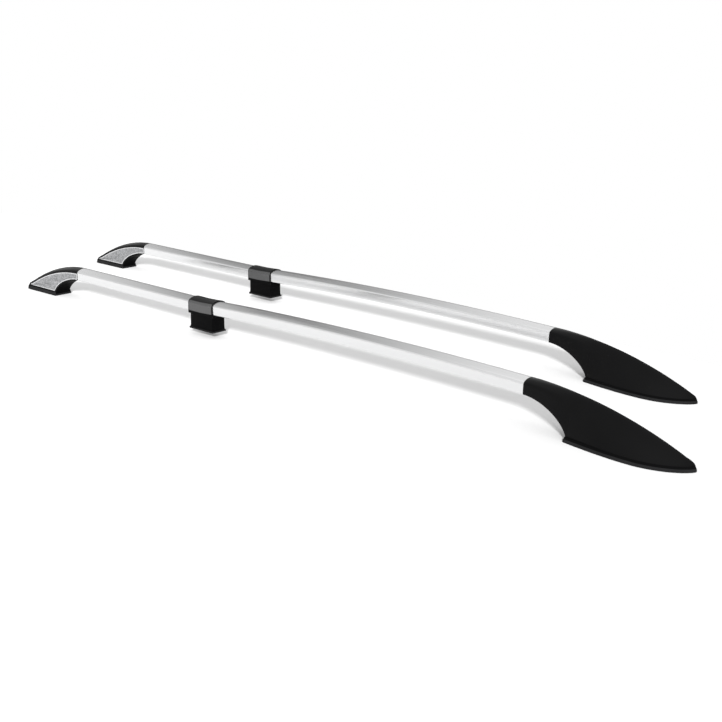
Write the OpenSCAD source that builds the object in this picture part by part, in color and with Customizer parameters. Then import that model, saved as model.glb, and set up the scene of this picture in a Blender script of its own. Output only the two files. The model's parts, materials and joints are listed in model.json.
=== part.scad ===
// Pair of roof side rails: an aluminium tube run on two moulded feet and a middle leg.
// Each rail runs along X with its front foot towards +X. The soles of the feet stand on z = 0.
// The origin is the middle of the pair's footprint.

/* [Pair] */
// Distance between the centre lines of the two rails
rail_spacing = 372; // [200:1:1200]
// How far the left rail lies behind the right one
rail_stagger = 174; // [0:1:400]

/* [Tube] */
// Width of the tube
tube_w = 44; // [40:0.5:50]
// Height of the tube
tube_h = 32; // [30:0.5:36]
// Height of the tube's crown above its shoulders
tube_crown = 7; // [5:0.5:9]
// Radius between side and crown
shoulder_r = 4; // [3.5:0.25:6]
// Radius between side and floor
floor_r = 3.5; // [3.25:0.25:5]
// Wall of the tube
tube_wall = 2; // [1.5:0.25:2.5]
// Height of the rear tube's floor above the soles
tube_z = 61; // [58:0.5:80]
// Length of the rear tube
rear_tube_len = 523; // [300:1:900]
// Length of the front tube along X
front_tube_len = 965; // [700:1:1300]
// How much higher the front tube ends than it starts
front_rise = 7; // [0:0.5:20]
// Radius of the front tube's arch
arch_radius = 12500; // [9000:100:20000]

/* [Middle leg] */
// Length of the leg along the rail
leg_len = 86; // [80:1:130]
// Width of the leg
leg_w = 43; // [42:0.5:54]
// Height of the leg's pad above the soles of the feet
leg_sole_z = 16; // [8:0.5:20]
// Wall of the leg
leg_wall = 3; // [2.5:0.25:4]
// Thickness of the leg's top under the tube
leg_top = 7; // [6:0.5:8]
// How far the collar reaches past the leg at each end
collar_over = 2; // [1:0.5:6]
// Wall of the collar
collar_wall = 2.3; // [1.8:0.1:3]
// How far the collar's sides reach below the tube
collar_drop = 5; // [4.5:0.25:6]
// Depth of the collar's hooks under the leg's shoulders
hook_d = 1.5; // [1:0.1:2]
// Height of the collar's hooks
hook_h = 2; // [1.5:0.1:2.5]
// How far the pad stands out round the leg
pad_lip = 2; // [0.5:0.25:5]
// Thickness of the pad
pad_t = 4; // [2:0.5:6]
// Length of the joining bar inside each tube
splice_len = 90; // [60:1:140]
// Wall of the joining bar
splice_wall = 3; // [2.5:0.25:4]
// Distance of each leg screw from the joint of the tubes
leg_screw_x = 27; // [22:0.5:30]

/* [Front foot] */
// Length of the arched neck between tube and heel
front_neck = 109; // [80:1:160]
// Roundness of the neck's underside: 1 is straight, 2 is elliptical
front_neck_curve = 1.65; // [1.2:0.05:2]
// Length of the cover's base
front_base = 250; // [230:1:340]
// Width of the cover's base at its heel
front_heel_w = 64; // [56:1:80]
// Greatest width of the cover's base
front_max_w = 98; // [84:1:120]
// Length of the tapering nose, from the widest place to the tip
front_nose = 104; // [80:1:130]
// Sharpness of the nose seen from above: 0.5 is an ellipse, 1 is a point
front_nose_curve = 0.7; // [0.5:0.05:0.8]
// Half width of the cover's shoulders near the nose
front_top_half = 15; // [10:0.5:20]
// Height of the tip above the base
front_tip_h = 11; // [6:0.5:12]
// Width of the gasket's skirt round the base
front_skirt = 6; // [5:0.5:9]
// Distance between the two roof bolts
front_bolt_gap = 120; // [100:1:140]
// Distance of the first roof bolt from the heel
front_bolt_x = 34; // [28:1:40]
// Distance of the first cover screw from the heel
front_screw_x = 62; // [56:1:70]
// Distance between the two cover screws
front_screw_gap = 64; // [50:1:66]

/* [Rear foot] */
// Length of the arched neck between tube and heel
rear_neck = 109; // [90:1:150]
// Roundness of the neck's underside: 1 is straight, 2 is elliptical
rear_neck_curve = 1.65; // [1.2:0.05:2]
// Length of the cover's base
rear_base = 142; // [125:1:200]
// Greatest width of the cover's base
rear_max_w = 53; // [50:1:64]
// Length of the rounding at the nose
rear_nose = 16; // [10:1:26]
// Height of the nose above the base
rear_tip_h = 8; // [5:0.5:14]
// Width of the gasket's skirt round the base
rear_skirt = 4; // [3.5:0.5:7]
// Distance between the two roof bolts
rear_bolt_gap = 64; // [58:1:72]
// Distance of the first roof bolt from the heel
rear_bolt_x = 26; // [22:1:30]
// Distance of the first cover screw from the heel
rear_screw_x = 44; // [41:1:46]
// Distance between the two cover screws
rear_screw_gap = 28; // [24:1:30]
// Thickness of the side panels
panel_t = 1.5; // [1.2:0.1:1.8]
// How far the side panels stand proud of the cover
panel_proud = 0.3; // [0:0.1:0.6]
// Width of the cover's edge left round a panel
panel_edge = 5; // [4:0.5:8]

/* [Both feet] */
// Wall of the covers
cover_wall = 2.5; // [2.2:0.1:3]
// Thickness of the gasket under the cover
gasket_t = 5; // [4:0.5:7]
// Height of the gasket's rim above its floor
rim_h = 6; // [3:0.5:7]
// Room behind the heel, where the neck's underside comes down inside the rim
heel_room = 3.5; // [3:0.25:4]
// Height of the gasket's square edge, below its bevel
rim_edge = 3.5; // [2:0.5:4]
// Width of the rim at its top
rim_top = 1.8; // [1.2:0.1:2.5]
// Thickness of the bracket's base plate
plate_t = 5; // [4:0.5:7]
// Thickness of the bracket's upright web
web_t = 6; // [4:0.5:8]
// Height of the web above the neck's floor
web_h = 17; // [12:0.5:18]
// How far the web runs over the base plate
web_foot = 8; // [4:0.5:10]
// Height of the ribs along the base plate
rib_h = 6; // [3:0.5:8]
// Thickness of the ribs along the base plate
rib_t = 3; // [2:0.25:4]
// Wall of the bosses round the inserts
insert_wall = 3; // [2:0.25:3.5]
// Length of the bracket's spigot inside the tube
spigot_len = 70; // [55:1:110]
// Wall of the spigot
spigot_wall = 3; // [2.5:0.25:4]
// Length of the spigot's root inside the cover
spigot_root = 12; // [8:0.5:16]
// Distance of the tube screw from the tube's end
tube_screw_x = 34; // [26:1:44]

/* [Fasteners] */
// Radius of the threaded hole for an 8 mm roof bolt
bolt_bore_r = 3.4; // [3.2:0.05:3.6]
// Radius of the clear hole for a roof bolt
bolt_clear_r = 4.5; // [4.2:0.1:5]
// Outer radius of the threaded inserts
insert_r = 6; // [5.5:0.25:6.5]
// Length of a threaded insert, flange included
insert_len = 14; // [12:0.5:18]
// Radius of the insert's flange
insert_flange_r = 8; // [7.5:0.25:8.5]
// Thickness of the insert's flange
insert_flange_t = 1.5; // [1:0.25:2.5]
// Shank radius of the 6 mm machine screws
screw_r = 2.9; // [2.5:0.1:3.1]
// Length of a machine screw under its head
screw_len = 14; // [13:0.5:16]
// Head radius of the machine screws
screw_head_r = 5.2; // [4.8:0.2:5.6]
// Head height of the machine screws
screw_head_h = 3.3; // [3:0.1:4]
// Shank radius of the cover screws
tap_r = 2; // [1.75:0.05:2.2]
// Length of a cover screw under its head
tap_len = 17; // [13:0.5:20]
// Head radius of the cover screws
tap_head_r = 4; // [3.5:0.25:4.25]
// Head height of the cover screws
tap_head_h = 2.4; // [2:0.1:3]
// Radius of the bosses that take the cover screws
boss_r = 4.5; // [4:0.25:5]

/* [Fits] */
// Clearance between the tube and what goes in or round it
slide_gap = 0.3; // [0.2:0.05:0.4]
// Clearance round screws, inserts and panels
hole_gap = 0.3; // [0.2:0.05:0.4]
// Clearance under a screw head and at a curved seat
seat_gap = 0.12; // [0.1:0.01:0.2]
// Gap between the two tubes, and between a tube and a cover
end_gap = 0.4; // [0.3:0.1:1]

/* [Hidden] */
$fn = 48;
SIDES = ["left", "right"];
FEET = ["front", "rear"];
WALLS = ["inner", "outer"];
RUN = ["rear_tube", "front_tube", "splice_bar", "collar", "leg", "leg_pad", "leg_insert", "leg_screws"];
FOOT = ["cover", "gasket", "bracket", "inserts", "tube_screws", "cover_screws"];

// Stations along a rail, from the rear edge of its gasket
rear_joint_x = rear_skirt + rear_base + rear_neck;
kink_x = rear_joint_x + rear_tube_len;
front_joint_x = kink_x + front_tube_len;
rail_len = front_joint_x + front_neck + front_base + front_skirt;
pair_len = rail_len + rail_stagger;

// The front tube's floor is a circle through both of its ends
chord = norm([front_tube_len, front_rise]);
chord_angle = atan(front_rise / front_tube_len);
half_angle = asin(chord / 2 / arch_radius);
start_angle = half_angle + chord_angle;
end_angle = half_angle - chord_angle;
arch_x = kink_x + arch_radius * sin(start_angle);
arch_z = tube_z - arch_radius * cos(start_angle);

// How far the arch falls away from a straight piece inside its end
function sag(length) = pow(length, 2) / 2 / arch_radius;

// Crown of the tube's section
crown_r = (pow(tube_crown, 2) + pow(tube_w / 2, 2)) / (2 * tube_crown);
crown_z = tube_h - crown_r;

// Sizes that follow from the others
bar_inset = tube_wall + slide_gap;
root_inset = cover_wall + slide_gap;
collar_grow = slide_gap + collar_wall;
pad_top = leg_sole_z + pad_t;
plate_top = gasket_t + plate_t;

// Small fixed sizes: how far a cut runs past a face, the least radius of an inset corner, the rounding of
// a cover's lower edge, the first step behind the heel, how far a lining is open below the base, the room
// between web and crown, and the share by which the last ring stays short of the tip
hidden = 1;
least_r = 0.4;
low_edge_r = 0.6;
heel_step = 0.4;
lining_drop = 2.5;
web_room = 3;
sliver = 0.0005;

// Shapes of curves: how a side leans in above its base, and how a web's top follows the neck
lean = 1.3;
web_bend = 0.8;

// Sizes of one foot, told apart by its name
function pick(foot, front, rear) = foot == "front" ? front : rear;
function neck(foot) = pick(foot, front_neck, rear_neck);
function neck_curve(foot) = pick(foot, front_neck_curve, rear_neck_curve);
function tip(foot) = neck(foot) + pick(foot, front_base, rear_base);
function nose(foot) = pick(foot, front_nose, rear_nose);
function widest(foot) = tip(foot) - nose(foot);
function skirt(foot) = pick(foot, front_skirt, rear_skirt);
function joint_z(foot) = tube_z + pick(foot, front_rise, 0);
function tip_z(foot) = gasket_t + pick(foot, front_tip_h, rear_tip_h);
function joint_angle(foot) = pick(foot, end_angle, 0);
function bolts(foot) = let (x = neck(foot) + pick(foot, front_bolt_x, rear_bolt_x))
    [x, x + pick(foot, front_bolt_gap, rear_bolt_gap)];
function taps(foot) = let (x = neck(foot) + pick(foot, front_screw_x, rear_screw_x))
    [x, x + pick(foot, front_screw_gap, rear_screw_gap)];
function plate_end(foot) = bolts(foot)[1] + insert_r + insert_wall + hole_gap;

function within(x, low, high) = max(low, min(high, x));
function smooth(x) = let (t = within(x, 0, 1)) t * t * (3 - 2 * t);
function quarter(x, curve) = pow(1 - pow(within(x, 0, 1), curve), 1 / curve);
function arc(x, y, r, from, to, steps) =
    [for (i = [0:steps]) let (a = from + (to - from) * i / steps) [x + r * cos(a), y + r * sin(a)]];
function mirrored(half) = concat(half, [for (i = [len(half) - 2:-1:0]) [-half[i][0], half[i][1]]]);

// Right half of the tube's section from its floor to its crown, grown outwards
function half_section(grow) =
    let (fr = max(floor_r + grow, least_r), sr = max(shoulder_r + grow, least_r), sy = tube_w / 2 + grow - sr,
        sz = crown_z + sqrt(pow(crown_r + grow - sr, 2) - pow(sy, 2)), meet = atan2(sz - crown_z, sy))
    concat(
        arc(tube_w / 2 + grow - fr, fr - grow, fr, -90, 0, 3),
        arc(sy, sz, sr, 0, meet, 4),
        [for (i = [1:5]) arc(0, crown_z, crown_r + grow, meet, 90, 5)[i]]);
function section(grow) = mirrored(half_section(grow));

// The same section above its floor corner, as shares of its half width and height
unit_section = let (half = half_section(0), rest = tube_h - floor_r)
    concat(
        [for (i = [1:2]) [1, (half[4][1] - floor_r) / rest * i / 3]],
        [for (i = [4:len(half) - 1]) [half[i][0] / (tube_w / 2), (half[i][1] - floor_r) / rest]]);

// Half width of a cover's side: over the neck, then over the base to its widest place
function side_half(foot, x) = pick(foot,
    x < front_neck
        ? tube_w / 2 + (front_heel_w - tube_w) / 2 * pow(x / front_neck, 2)
        : front_heel_w / 2 + (front_max_w - front_heel_w) / 2
            * sin(90 * within((x - front_neck) / (widest(foot) - front_neck), 0, 1)),
    tube_w / 2 + (rear_max_w - tube_w) / 2 * within(x / widest(foot), 0, 1));

// Half width of the base, with an inset all round or grown outwards with round heel corners
function corner(foot, x, inset) =
    let (r = max(0, -inset), t = within(x - neck(foot) - inset, 0, r)) r - sqrt(pow(r, 2) - pow(r - t, 2));
function closing(foot, x, inset) = pow(max(0, 1 - pow(max(0, x - widest(foot)) / (nose(foot) - inset), 2)),
    pick(foot, front_nose_curve, 0.5));
function base_half(foot, x, inset) =
    (side_half(foot, x) - corner(foot, x, inset) - inset) * closing(foot, x, inset);

// Crown line, underside and half widths of a cover at a station, inset by a wall
function crest(foot, x) = tip_z(foot) + (joint_z(foot) + tube_h - tip_z(foot)) * (1 - pow(x / tip(foot), 2));
function sole(foot, x, inset) = x > neck(foot) + inset
    ? gasket_t - (inset > 0 ? lining_drop : 0)
    : inset + gasket_t + (joint_z(foot) - gasket_t) * quarter((x - inset) / neck(foot), neck_curve(foot));
function top_half(foot, x, inset) = pick(foot,
    (front_top_half + (tube_w / 2 - front_top_half) * (1 - smooth(x / widest(foot))) - inset)
        * closing(foot, x, inset),
    base_half(foot, x, inset));

// How far the section has turned from the tube's into a rounded fin
function fin(foot, x) = pick(foot, smooth(x / widest(foot)), 0);

// Height of a point of the section above its lower corner. A front cover's section grows as a whole, and
// a rear cover's grows in its flat side alone, below a crown that stays like the tube's.
function lift(foot, share, rest) =
    let (flat = unit_section[2][1], crown = (1 - flat) * pick(foot, rest, min(rest, tube_h - floor_r)))
    share < flat ? share / flat * (rest - crown) : rest - (1 - share) / (1 - flat) * crown;

// One ring of a cover, square to the rail
function ring(foot, x, inset) =
    let (low = base_half(foot, x, inset), top = min(low, top_half(foot, x, inset)), z = sole(foot, x, inset),
        h = crest(foot, x) - inset - z, share = smooth((x - inset) / neck(foot)), k = fin(foot, x),
        r = min(max(floor_r - inset, least_r) * (1 - share) + low_edge_r * share, low / 2, h / 2),
        half = concat(
            [for (p = arc(low - r, r, r, -90, 0, 2)) p],
            [for (p = unit_section) let (round = 1 / norm(p),
                a = p[0] * (1 - k + k * round), b = p[1] * (1 - k + k * round))
                [a * (top + (low - top) * pow(1 - b, lean)), r + lift(foot, b, h - r)]]))
    [for (p = mirrored(half)) [x, p[0], z + p[1]]];

// Half width of a cover's lining at a height
function lining_half(foot, x, z) =
    let (low = base_half(foot, x, cover_wall), top = min(low, top_half(foot, x, cover_wall)),
        floor = sole(foot, x, cover_wall), b = (z - floor) / (crest(foot, x) - cover_wall - floor))
    (top + (low - top) * pow(1 - b, lean)) * (1 - fin(foot, x) * pow(b, 2));

// Stations of the rings: close together where the shape turns fast
function stations(foot, inset, neck_steps, nose_steps) =
    let (n = neck(foot), w = widest(foot), reach = nose(foot) - inset)
    concat(
        [for (i = [0:neck_steps]) inset + n * pow(sin(90 * i / neck_steps), 2 / neck_curve(foot))],
        [for (i = [0:5]) n + inset + heel_step + (w - n - inset - heel_step) * i / 5],
        [for (i = [1:nose_steps]) w + reach * min(sin(90 * i / nose_steps), 1 - sliver)]);

// Solid between rings of points that all have the same count, with a fan of triangles at each end
function middle(ring) = [for (p = ring) 1] * ring / len(ring);

module loft(rings) {
    count = len(rings[0]);
    last = len(rings) - 1;
    ends = [middle(rings[0]), middle(rings[last])];
    first_end = (last + 1) * count;
    faces = [for (j = [0:count - 1]) let (k = (j + 1) % count) each concat(
        [for (i = [0:last - 1]) each [
            [i * count + j, (i + 1) * count + j, i * count + k],
            [i * count + k, (i + 1) * count + j, (i + 1) * count + k]]],
        [[j, k, first_end], [last * count + k, last * count + j, first_end + 1]])];
    polyhedron(concat([for (ring = rings) each ring], ends), faces, convexity = 6);
}

module along_x(from, to, outline) {
    translate([from, 0, 0]) rotate([90, 0, 90]) linear_extrude(to - from) polygon(outline);
}

module upright(from, height, outline) {
    translate([0, 0, from]) linear_extrude(height) polygon(outline);
}

// Places on a rail
module on_rail(side) {
    translate([(side == "left" ? 0 : rail_stagger) - pair_len / 2,
        (side == "left" ? 0.5 : -0.5) * rail_spacing, 0]) children();
}

module at_kink(turn) {
    translate([kink_x, 0, tube_z]) rotate([0, turn, 0]) children();
}

// A foot's own frame has x = 0 at the tube's end and grows towards the tip
module at_foot(foot) {
    if (foot == "front") translate([front_joint_x, 0, 0]) children();
    if (foot == "rear") translate([rear_joint_x, 0, 0]) mirror([1, 0, 0]) children();
}

module at_tube_end(foot) {
    at_foot(foot) translate([0, 0, joint_z(foot)]) rotate([0, joint_angle(foot), 0]) children();
}

// Screws and inserts stand on z = 0 and point up
module screw(r, length, head_r, head_h) {
    difference() {
        union() {
            translate([0, 0, -head_h]) cylinder(h = head_h, r = head_r);
            translate([0, 0, -head_h]) cylinder(h = head_h + length, r = r);
        }
        translate([0, 0, -head_h - hidden]) cylinder(h = head_h / 2 + hidden, r = head_r / 2, $fn = 6);
    }
}

module machine_screw() {
    translate([0, 0, -seat_gap]) screw(screw_r, screw_len, screw_head_r, screw_head_h);
}

module screw_hole() {
    translate([0, 0, -hidden]) cylinder(h = screw_len + 2 * hidden, r = screw_r + hole_gap);
}

module insert() {
    difference() {
        union() {
            cylinder(h = insert_flange_t, r = insert_flange_r);
            cylinder(h = insert_len, r = insert_r);
        }
        translate([0, 0, -hidden]) cylinder(h = insert_len + 2 * hidden, r = bolt_bore_r);
    }
}

module insert_hole() {
    translate([0, 0, -hidden]) cylinder(h = hidden + insert_flange_t, r = insert_flange_r + hole_gap);
    translate([0, 0, -hidden]) cylinder(h = insert_len + 2 * hidden, r = insert_r + hole_gap);
}

// Tube run
module tube_screw_hole(foot) {
    at_tube_end(foot) translate([-tube_screw_x, 0, 0]) screw_hole();
}

module leg_screw_holes() {
    at_kink(0) translate([-leg_screw_x, 0, -leg_top]) screw_hole();
    at_kink(-start_angle) translate([leg_screw_x, 0, -leg_top]) screw_hole();
}

module rear_tube() {
    color("silver") difference() {
        translate([0, 0, tube_z]) difference() {
            along_x(rear_joint_x + end_gap, kink_x - end_gap, section(0));
            along_x(rear_joint_x, kink_x, section(-tube_wall));
        }
        tube_screw_hole("rear");
        leg_screw_holes();
    }
}

// The whole arch, a little longer than the tube at both ends
module arch(spare, grow) {
    translate([arch_x, 0, arch_z]) rotate([90, 0, 0]) rotate([0, 0, 90 - end_angle - spare])
        rotate_extrude(angle = start_angle + end_angle + 2 * spare, $fn = 1440)
            translate([arch_radius, 0]) polygon([for (p = section(grow)) [p[1], p[0]]]);
}

// The tube's ends are cut upright
module front_tube() {
    spare = 0.1;
    color("silver") difference() {
        arch(spare, 0);
        arch(2 * spare, -tube_wall);
        translate([kink_x - rear_tube_len, -tube_w, 0])
            cube([rear_tube_len + end_gap, 2 * tube_w, 2 * (tube_z + tube_h)]);
        translate([front_joint_x - end_gap, -tube_w, 0])
            cube([rear_tube_len, 2 * tube_w, 2 * (tube_z + tube_h)]);
        tube_screw_hole("front");
        leg_screw_holes();
    }
}

// A hollow bar bent at the joint of the tubes, half of it in each
module splice_bar() {
    color("lightgray") difference() {
        union() {
            at_kink(0) along_x(-splice_len, 0, section(-bar_inset));
            at_kink(-start_angle) along_x(0, splice_len, section(-bar_inset - sag(splice_len)));
        }
        at_kink(0) along_x(-splice_len - hidden, 0, section(-bar_inset - splice_wall));
        at_kink(-start_angle)
            along_x(0, splice_len + hidden, section(-bar_inset - sag(splice_len) - splice_wall));
        leg_screw_holes();
    }
}

// Middle leg
module near_kink(reach, grow) {
    at_kink(0) along_x(-reach, 0, section(grow));
    at_kink(-start_angle) along_x(0, reach, section(grow));
}

module collar_side(half_len, low, high, from_y, to_y) {
    for (side = [-1, 1])
        translate([kink_x - half_len, side > 0 ? from_y : -to_y, tube_z + low])
            cube([2 * half_len, to_y - from_y, high - low]);
}

module collar() {
    half_len = leg_len / 2 + collar_over;
    half_w = tube_w / 2 + slide_gap;
    color("#2b2b2d") {
        difference() {
            union() {
                near_kink(half_len, collar_grow);
                collar_side(half_len, -collar_drop, floor_r, half_w, half_w + collar_wall);
            }
            near_kink(half_len + hidden, slide_gap);
            translate([kink_x - half_len - hidden, -half_w, tube_z - collar_drop - hidden])
                cube([2 * (half_len + hidden), 2 * half_w, collar_drop + hidden + floor_r]);
        }
        collar_side(half_len, -collar_drop, hook_h - collar_drop, half_w - hook_d, half_w + hidden);
    }
}

module leg() {
    half_w = tube_w / 2 + slide_gap;
    room_h = tube_z - leg_top - pad_top;
    color("#1b1b1c") difference() {
        union() {
            translate([kink_x - leg_len / 2, -leg_w / 2, pad_top])
                cube([leg_len, leg_w, tube_z - collar_drop - hole_gap - pad_top]);
            translate([kink_x - leg_len / 2, -half_w + slide_gap + hook_d, pad_top])
                cube([leg_len, 2 * (half_w - slide_gap - hook_d), tube_z - pad_top + leg_top / 2]);
            collar_side(leg_len / 2, hook_h + hole_gap - collar_drop, leg_top / 2,
                hook_d, half_w - slide_gap);
        }
        near_kink(leg_len, seat_gap);
        difference() {
            translate([kink_x - leg_len / 2 + leg_wall, leg_wall - leg_w / 2, pad_top - hidden])
                cube([leg_len - 2 * leg_wall, leg_w - 2 * leg_wall, room_h + hidden]);
            translate([kink_x, 0, pad_top - hidden])
                cylinder(h = room_h + 2 * hidden, r = insert_r + leg_wall);
            for (side = [-1, 1])
                translate([kink_x - leg_wall / 2, side * (leg_w / 4 + insert_r) - leg_w / 4, pad_top + plate_t])
                    cube([leg_wall, leg_w / 2, room_h]);
        }
        translate([kink_x, 0, pad_top]) insert_hole();
        leg_screw_holes();
        at_kink(-start_angle) translate([leg_screw_x, 0, -2 * leg_top])
            cylinder(h = leg_top, r = screw_head_r + hole_gap);
    }
}

module leg_pad() {
    color("#101010") translate([kink_x, 0, leg_sole_z]) difference() {
        linear_extrude(pad_t) square([leg_len + 2 * pad_lip, leg_w + 2 * pad_lip], center = true);
        translate([0, 0, -hidden]) cylinder(h = pad_t + 2 * hidden, r = bolt_clear_r);
    }
}

module leg_insert() {
    color("silver") translate([kink_x, 0, pad_top]) insert();
}

module leg_screws() {
    color("silver") {
        at_kink(0) translate([-leg_screw_x, 0, -leg_top]) machine_screw();
        at_kink(-start_angle) translate([leg_screw_x, 0, -leg_top]) machine_screw();
    }
}

// Feet
module shell(foot, inset) {
    neck_steps = inset > 0 ? 6 : 8;
    nose_steps = inset > 0 ? 4 : pick(foot, 8, 5);
    last = tip(foot) - (inset > 0 ? pick(foot, front_nose / 3, rear_nose / 2) : 0);
    xs = [for (x = stations(foot, inset, neck_steps, nose_steps)) if (x < last) x];
    loft([for (x = inset > 0 ? concat([-hidden], xs) : xs) ring(foot, x, inset)]);
}

module cover_bosses(foot) {
    for (x = taps(foot))
        translate([x, 0, plate_top]) cylinder(h = tube_z + tube_h, r = boss_r);
}

// The flat side of the rear cover, as a plane with z up and x towards the nose
module on_side(wall, depth) {
    turn = atan((rear_max_w - tube_w) / 2 / widest("rear"));
    side = wall == "outer" ? -1 : 1;
    at_foot("rear") scale([1, side, 1]) rotate([0, 0, turn])
        translate([0, tube_w / 2 * cos(turn) - depth, 0]) children();
}

function panel_outline(grow) =
    let (foot = "rear", edge = panel_edge - grow, low = gasket_t + rim_h + edge / 2, n = neck(foot),
        line = tip(foot) - nose(foot) / 2 - 2 * edge)
    concat(
        [for (i = [0:7]) let (x = edge / 2 + (n + edge / 2) * pow(sin(90 * i / 8), 2 / neck_curve(foot)))
            [x, max(low, sole(foot, x - edge, 0) + edge / 2)]],
        [[n + edge / 2, low], [line, low]],
        [for (i = [10:-1:0]) let (x = edge / 2 + (line - edge / 2) * i / 10, floor = sole(foot, x, 0))
            [x, floor + lift(foot, unit_section[2][1], crest(foot, x) - floor) - edge / 4]]);

module panel_slab(grow, thickness) {
    translate([0, thickness, 0]) rotate([90, 0, 0]) linear_extrude(thickness) polygon(panel_outline(grow));
}

module cover(foot) {
    color("#1d1d1f") difference() {
        at_foot(foot) difference() {
            shell(foot, 0);
            difference() {
                shell(foot, cover_wall);
                cover_bosses(foot);
            }
            for (x = taps(foot)) translate([x, 0, gasket_t])
                cylinder(h = tap_len + hidden, r = tap_r + hole_gap / 2);
        }
        if (foot == "rear") for (wall = WALLS)
            on_side(wall, panel_t - panel_proud) panel_slab(hole_gap, panel_t + hidden);
    }
}

module side_panel(wall) {
    color("#a4a5a7") on_side(wall, panel_t - panel_proud) panel_slab(0, panel_t);
}

// Outline of the base, grown outwards, from heel to tip and back
function plan(foot, grow, steps) =
    let (start = neck(foot) - grow, reach = nose(foot) + grow,
        xs = concat(
            [for (i = [0:3]) start + grow * (1 - cos(30 * i))],
            [for (i = [1:steps]) neck(foot) + (widest(foot) - neck(foot)) * i / steps],
            [for (i = [1:steps]) widest(foot) + reach * min(sin(90 * i / steps), 1 - sliver)]),
        half = [for (x = xs) [x, base_half(foot, x, -grow)]])
    concat(half, [for (i = [len(half) - 1:-1:0]) [half[i][0], -half[i][1]]]);

module gasket(foot) {
    steps = 8;
    notch_half = side_half(foot, neck(foot)) + 2 * hole_gap;
    bevel = [[rim_top + hole_gap, gasket_t + rim_h], [skirt(foot), rim_edge], [skirt(foot), 0]];
    color("#2d2d2e") at_foot(foot) difference() {
        loft([for (b = bevel) [for (p = plan(foot, b[0], steps)) [p[0], p[1], b[1]]]]);
        upright(gasket_t, rim_h + hidden, plan(foot, hole_gap, steps));
        translate([neck(foot) - heel_room, -notch_half, gasket_t])
            cube([heel_room + hidden, 2 * notch_half, rim_h + hidden]);
        for (x = bolts(foot)) translate([x, 0, -hidden])
            cylinder(h = gasket_t + 2 * hidden, r = bolt_clear_r);
        for (x = taps(foot)) translate([x, 0, -hidden])
            cylinder(h = gasket_t + 2 * hidden, r = tap_head_r + hole_gap);
    }
}

function web_outline(foot) =
    let (floor = cover_wall + 2 * slide_gap, last = neck(foot) + floor, steps = 6)
    concat(
        [for (i = [0:steps]) let (x = floor + neck(foot) * pow(sin(90 * i / steps), 2 / neck_curve(foot)))
            [x, max(gasket_t + hidden, sole(foot, x, floor))]],
        [[last + web_foot, gasket_t + hidden], [last + web_foot, plate_top + rib_h]],
        [for (i = [steps:-1:1]) let (x = floor + (last + web_foot - floor) * pow(i / steps, web_bend))
            [x, max(plate_top + rib_h, min(crest(foot, x) - cover_wall - web_room,
                sole(foot, min(x, neck(foot)), floor) + web_h))]],
        [[floor, joint_z(foot) + floor + web_h]]);

module bracket(foot) {
    from = neck(foot) + cover_wall + slide_gap;
    to = plate_end(foot);
    inset = bar_inset + pick(foot, sag(spigot_len), 0);
    rim = [for (i = [0:10]) let (x = from + (to - from) * i / 10)
        [x, lining_half(foot, x, plate_top) - 2 * slide_gap]];
    color("#9a9c9f") difference() {
        union() {
            at_foot(foot) {
                upright(gasket_t, plate_t, concat(rim, [for (i = [10:-1:0]) [rim[i][0], -rim[i][1]]]));
                for (x = bolts(foot)) translate([x, 0, gasket_t])
                    cylinder(h = insert_len, r = insert_r + insert_wall);
                for (side = [-1, 1])
                    translate([from + web_foot, side * (insert_r + insert_wall) - rib_t / 2, gasket_t])
                        cube([to - from - web_foot, rib_t, plate_t + rib_h]);
                translate([0, web_t / 2, 0]) rotate([90, 0, 0])
                    linear_extrude(web_t) polygon(web_outline(foot));
            }
            at_tube_end(foot) {
                along_x(-spigot_len, -end_gap - tube_h * sin(joint_angle(foot)), section(-inset));
                along_x(-spigot_wall, spigot_root, section(-max(inset, root_inset) - 2 * slide_gap));
            }
        }
        at_tube_end(foot) along_x(-spigot_len - hidden, -spigot_wall, section(-inset - spigot_wall));
        tube_screw_hole(foot);
        at_foot(foot) {
            for (x = bolts(foot)) translate([x, 0, gasket_t]) insert_hole();
            for (x = taps(foot)) translate([x, 0, gasket_t - hidden])
                cylinder(h = plate_t + rib_h + 2 * hidden, r = tap_r + hole_gap);
        }
    }
}

module inserts(foot) {
    color("silver") at_foot(foot) for (x = bolts(foot)) translate([x, 0, gasket_t]) insert();
}

module tube_screws(foot) {
    color("silver") at_tube_end(foot) translate([-tube_screw_x, 0, 0]) machine_screw();
}

module cover_screws(foot) {
    color("#3a3a3a") at_foot(foot) for (x = taps(foot))
        translate([x, 0, gasket_t]) screw(tap_r, tap_len, tap_head_r, tap_head_h);
}

module show(side, piece) {
    on_rail(side) children();
}

for (side = SIDES) {
    show(side, "rear_tube") rear_tube();
    show(side, "front_tube") front_tube();
    show(side, "splice_bar") splice_bar();
    show(side, "collar") collar();
    show(side, "leg") leg();
    show(side, "leg_pad") leg_pad();
    show(side, "leg_insert") leg_insert();
    show(side, "leg_screws") leg_screws();
    for (foot = FEET) {
        show(side, str(foot, "_cover")) cover(foot);
        show(side, str(foot, "_gasket")) gasket(foot);
        show(side, str(foot, "_bracket")) bracket(foot);
        show(side, str(foot, "_inserts")) inserts(foot);
        show(side, str(foot, "_tube_screws")) tube_screws(foot);
        show(side, str(foot, "_cover_screws")) cover_screws(foot);
    }
    for (wall = WALLS) show(side, str("rear_", wall, "_panel")) side_panel(wall);
}
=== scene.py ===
"""Looks of the roof side rail pair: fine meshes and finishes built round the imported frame."""

import json
import math

import bmesh
import bpy
from mathutils import Matrix, Vector


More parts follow.
